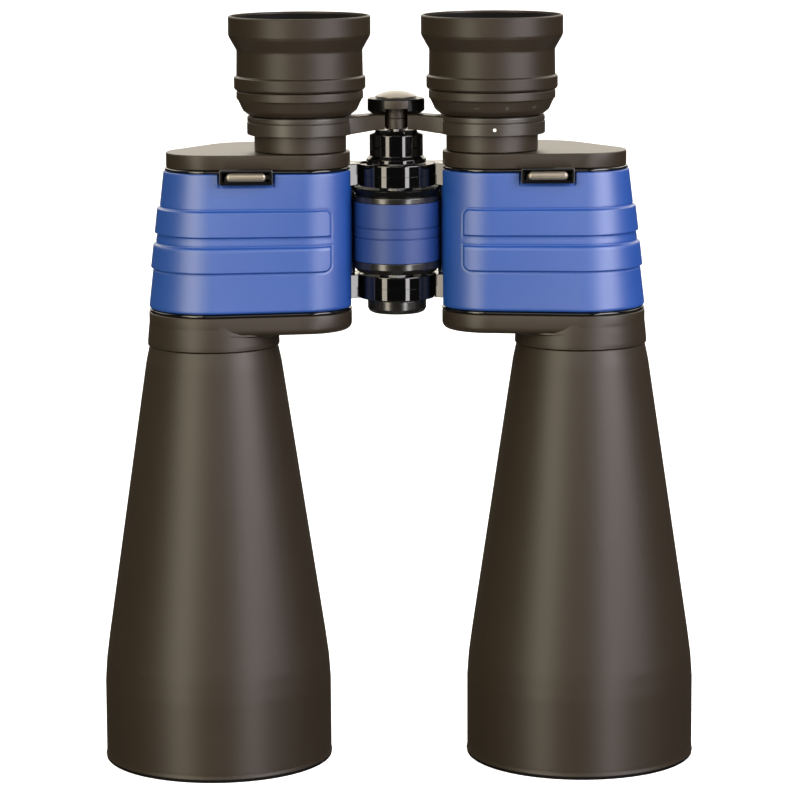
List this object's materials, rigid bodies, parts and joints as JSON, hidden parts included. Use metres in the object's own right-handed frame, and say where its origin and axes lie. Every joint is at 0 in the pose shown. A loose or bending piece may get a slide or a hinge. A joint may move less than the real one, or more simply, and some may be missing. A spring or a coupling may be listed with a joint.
{
  "type": "astronomy binoculars",
  "caption": "Large Porro prism binoculars with tapered objective tubes, blue rubber armour, centre hinge, focus wheel and fold-down eyecups.",
  "frame": {"origin": "on the floor under the hinge axis, midway between the two barrels", "axes": "+Z along the optical axes from the objectives to the eyecups, +X from the left barrel to the right one, -Y the flat underside of the prism housings"},
  "size_m": [0.2232, 0.086, 0.28],
  "materials": {
    "satin_paint": "satin black-brown paint on aluminium",
    "blue_rubber": "smooth matte royal blue rubber",
    "cup_rubber": "satin black-brown soft rubber",
    "gloss_black": "glossy black enamel on cast aluminium",
    "bare_metal": "plain turned steel",
    "brass": "plain turned brass",
    "pale_cap": "satin champagne anodised aluminium",
    "inner_black": "matte black anodising against stray light",
    "glass": "polished optical glass with a green-purple coating"
  },
  "bodies": {
    "left_body": {"left_objective_tube": "satin_paint", "left_objective_rim": "satin_paint", "left_objective_cell": "inner_black", "left_objective_retaining_ring": "inner_black", "left_objective_crown_lens": "glass", "left_objective_flint_lens": "glass", "left_prism_housing": "gloss_black", "left_armor": "blue_rubber", "left_front_cover": "satin_paint", "left_rear_cover": "satin_paint", "left_strap_lug": "gloss_black", "left_prism_shelf": "inner_black", "left_upper_prism": "glass", "left_lower_prism": "glass", "left_upper_prism_clip": "bare_metal", "left_lower_prism_clip": "bare_metal", "hinge_pin": "bare_metal", "hinge_column": "gloss_black", "tripod_bush": "brass"},
    "right_body": {"right_objective_tube": "satin_paint", "right_objective_rim": "satin_paint", "right_objective_cell": "inner_black", "right_objective_retaining_ring": "inner_black", "right_objective_crown_lens": "glass", "right_objective_flint_lens": "glass", "right_prism_housing": "gloss_black", "right_armor": "blue_rubber", "right_front_cover": "satin_paint", "right_rear_cover": "satin_paint", "right_strap_lug": "gloss_black", "right_prism_shelf": "inner_black", "right_upper_prism": "glass", "right_lower_prism": "glass", "right_upper_prism_clip": "bare_metal", "right_lower_prism_clip": "bare_metal"},
    "focus_wheel": {"focus_drum": "gloss_black", "focus_grip": "blue_rubber"},
    "left_bridge": {"left_bridge_arm": "satin_paint", "left_eyepiece_barrel": "satin_paint", "left_eyepiece_shell": "satin_paint", "left_eyecup": "cup_rubber", "left_lens_barrel": "inner_black", "left_field_lens": "glass", "left_eye_lens": "glass", "focus_spindle": "bare_metal", "focus_cross_pin": "bare_metal", "focus_follower": "brass", "bridge_cap": "gloss_black", "bridge_cap_plate": "pale_cap"},
    "right_bridge": {"right_bridge_arm": "satin_paint", "right_eyepiece_barrel": "satin_paint"},
    "diopter": {"diopter_ring": "satin_paint", "right_eyecup": "cup_rubber"},
    "right_lens": {"right_lens_barrel": "inner_black", "right_field_lens": "glass", "right_eye_lens": "glass"},
    "tripod_cap": {"tripod_socket_cap": "satin_paint"}
  },
  "joints": [
    {"name": "interpupillary_hinge", "type": "hinge", "parent": "left_body", "child": "right_body", "pos_m": [0, 0, 0.2], "axis": [0, 0, 1], "range_deg": [-75, 0]},
    {"name": "focus_wheel_turn", "type": "hinge", "parent": "left_body", "child": "focus_wheel", "pos_m": [0, 0, 0.2], "axis": [0, 0, 1], "range_deg": [0, 540.5]},
    {"name": "left_bridge_travel", "type": "slide", "parent": "left_body", "child": "left_bridge", "axis": [0, 0, 1], "range_m": [0, 0.0081]},
    {"name": "right_bridge_travel", "type": "slide", "parent": "right_body", "child": "right_bridge", "axis": [0, 0, 1], "range_m": [0, 0.0081]},
    {"name": "diopter_turn", "type": "hinge", "parent": "right_bridge", "child": "diopter", "pos_m": [0.03555, 0, 0.25], "axis": [0, 0, 1], "range_deg": [-90.5, 90.5]},
    {"name": "diopter_lens_travel", "type": "slide", "parent": "right_bridge", "child": "right_lens", "axis": [0, 0, 1], "range_m": [-0.0014, 0.0014]},
    {"name": "tripod_cap_unscrew", "type": "slide", "parent": "left_body", "child": "tripod_cap", "axis": [0, 0, -1], "range_m": [0, 0.008]}
  ],
  "couplings": [
    {"joint": "focus_wheel_turn", "follows": "left_bridge_travel", "rad_per_m": 1163.6},
    {"joint": "right_bridge_travel", "follows": "left_bridge_travel", "ratio": 1},
    {"joint": "diopter_turn", "follows": "diopter_lens_travel", "rad_per_m": 1122}
  ]
}
